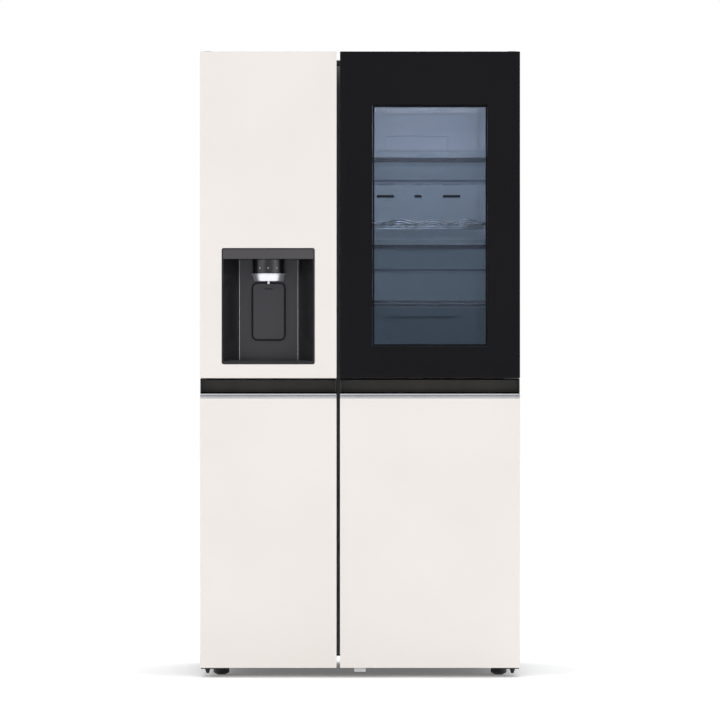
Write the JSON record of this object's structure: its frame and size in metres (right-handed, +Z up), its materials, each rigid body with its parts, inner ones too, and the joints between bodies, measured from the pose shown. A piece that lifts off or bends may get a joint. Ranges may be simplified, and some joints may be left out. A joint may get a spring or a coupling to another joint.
{
  "type": "side by side refrigerator",
  "caption": "Side by side refrigerator with a freezer door with dispenser, a fridge door, a glazed door in door, shelves, drawers, bins, hinges and feet.",
  "frame": {"origin": "centre of the footprint on the floor", "axes": "+Z up, doors face -Y, the freezer is at -X and the fridge compartment at +X"},
  "size_m": [0.913, 0.735, 1.79],
  "materials": {
    "case_paint": "satin",
    "foam": "matte",
    "liner_white": "satin",
    "foamed_door": "satin",
    "dark_steel": "satin",
    "compressor_paint": "satin",
    "hinge_steel": "satin",
    "black_plastic": "matte",
    "clear_shelf": "gloss",
    "clear_plastic": "gloss",
    "rack_chrome": "polished",
    "cream_panel": "satin",
    "belt_dark": "satin",
    "lip_aluminium": "satin",
    "gasket_rubber": "matte",
    "charcoal": "satin",
    "tap_metal": "satin",
    "black_glass": "gloss"
  },
  "bodies": {
    "cabinet": {"outer_case": "case_paint", "rear_panel": "case_paint", "insulation_foam": "foam", "freezer_liner": "liner_white", "fridge_liner": "liner_white", "fridge_duct_cover": "liner_white", "base_frame": "dark_steel", "compressor": "compressor_paint", "condenser": "dark_steel", "machine_cover": "case_paint", "cord_gland": "black_plastic", "water_inlet": "black_plastic", "top_hinge_left": "hinge_steel", "hinge_cover_left": "black_plastic", "bottom_hinge_left": "dark_steel", "top_hinge_right": "hinge_steel", "hinge_cover_right": "black_plastic", "bottom_hinge_right": "dark_steel", "top_cover": "black_plastic", "fridge_shelf_1": "clear_shelf", "fridge_shelf_2": "clear_shelf", "fridge_shelf_3": "clear_shelf", "fridge_shelf_4": "clear_shelf", "freezer_shelf_1": "clear_shelf", "freezer_shelf_2": "clear_shelf", "bottle_rack": "rack_chrome", "drawer_cover": "clear_shelf"},
    "left_foot": {"levelling_foot_left": "black_plastic"},
    "right_foot": {"levelling_foot_right": "black_plastic"},
    "left_roller": {"rear_roller_left": "black_plastic"},
    "right_roller": {"rear_roller_right": "black_plastic"},
    "crisper_upper_body": {"crisper_upper": "clear_plastic"},
    "crisper_lower_body": {"crisper_lower": "clear_plastic"},
    "freezer_drawer_upper_body": {"freezer_drawer_upper": "clear_plastic"},
    "freezer_drawer_lower_body": {"freezer_drawer_lower": "clear_plastic"},
    "freezer_door": {"freezer_door_body": "foamed_door", "freezer_door_panel_upper": "cream_panel", "freezer_door_panel_lower": "cream_panel", "freezer_door_belt": "belt_dark", "freezer_door_lip": "lip_aluminium", "freezer_door_gasket": "gasket_rubber", "dispenser_housing": "charcoal", "dispenser_tap": "tap_metal", "dispenser_tap_ring": "rack_chrome", "ice_maker_box": "liner_white", "freezer_door_bin": "clear_plastic"},
    "paddle": {"dispenser_paddle": "charcoal"},
    "fridge_door": {"fridge_door_body": "foamed_door", "fridge_door_panel_lower": "cream_panel", "fridge_door_belt": "belt_dark", "fridge_door_lip": "lip_aluminium", "fridge_door_gasket": "gasket_rubber", "door_basket_1": "clear_plastic", "door_basket_2": "clear_plastic", "door_basket_3": "clear_plastic", "fridge_door_bin": "clear_plastic", "glass_door_hinge_lower": "hinge_steel"},
    "glass_door": {"glass_door_frame": "black_plastic", "glass_door_pane": "black_glass"},
    "latch": {"glass_door_latch": "black_plastic"}
  },
  "joints": [
    {"name": "freezer_door_hinge", "type": "hinge", "parent": "cabinet", "child": "freezer_door", "pos_m": [-0.4365, -0.3, 0], "axis": [0, 0, -1], "range_deg": [0, 120]},
    {"name": "fridge_door_hinge", "type": "hinge", "parent": "cabinet", "child": "fridge_door", "pos_m": [0.4365, -0.3, 0], "axis": [0, 0, 1], "range_deg": [0, 120]},
    {"name": "glass_door_hinge", "type": "hinge", "parent": "fridge_door", "child": "glass_door", "pos_m": [0.4415, -0.345, 0], "axis": [0, 0, 1], "range_deg": [0, 105]},
    {"name": "paddle_hinge", "type": "hinge", "parent": "freezer_door", "child": "paddle", "pos_m": [-0.26175, -0.2995, 1.119], "axis": [1, 0, 0], "range_deg": [0, 8], "stiffness_Nm_per_rad": 1, "springref_deg": -2.86},
    {"name": "latch_press", "type": "slide", "parent": "glass_door", "child": "latch", "axis": [0, 0, 1], "range_m": [0, 0.003], "stiffness_N_per_m": 200, "springref_m": -0.002},
    {"name": "crisper_upper_slide", "type": "slide", "parent": "cabinet", "child": "crisper_upper_body", "axis": [0, -1, 0], "range_m": [0, 0.14]},
    {"name": "crisper_lower_slide", "type": "slide", "parent": "cabinet", "child": "crisper_lower_body", "axis": [0, -1, 0], "range_m": [0, 0.14]},
    {"name": "freezer_drawer_upper_slide", "type": "slide", "parent": "cabinet", "child": "freezer_drawer_upper_body", "axis": [0, -1, 0], "range_m": [0, 0.14]},
    {"name": "freezer_drawer_lower_slide", "type": "slide", "parent": "cabinet", "child": "freezer_drawer_lower_body", "axis": [0, -1, 0], "range_m": [0, 0.14]},
    {"name": "left_foot_screw", "type": "hinge", "parent": "cabinet", "child": "left_foot", "pos_m": [-0.3995, -0.2125, 0], "axis": [0, 0, 1], "continuous": true},
    {"name": "right_foot_screw", "type": "hinge", "parent": "cabinet", "child": "right_foot", "pos_m": [0.3995, -0.2125, 0], "axis": [0, 0, 1], "continuous": true},
    {"name": "left_roller_spin", "type": "hinge", "parent": "cabinet", "child": "left_roller", "pos_m": [-0.3995, 0.3175, 0.02], "axis": [1, 0, 0], "continuous": true},
    {"name": "right_roller_spin", "type": "hinge", "parent": "cabinet", "child": "right_roller", "pos_m": [0.3995, 0.3175, 0.02], "axis": [1, 0, 0], "continuous": true}
  ],
  "couplings": [
    {"joint": "crisper_upper_slide", "follows": "fridge_door_hinge", "m_per_rad": 0.065},
    {"joint": "crisper_lower_slide", "follows": "fridge_door_hinge", "m_per_rad": 0.065},
    {"joint": "freezer_drawer_upper_slide", "follows": "freezer_door_hinge", "m_per_rad": 0.065},
    {"joint": "freezer_drawer_lower_slide", "follows": "freezer_door_hinge", "m_per_rad": 0.065}
  ]
}
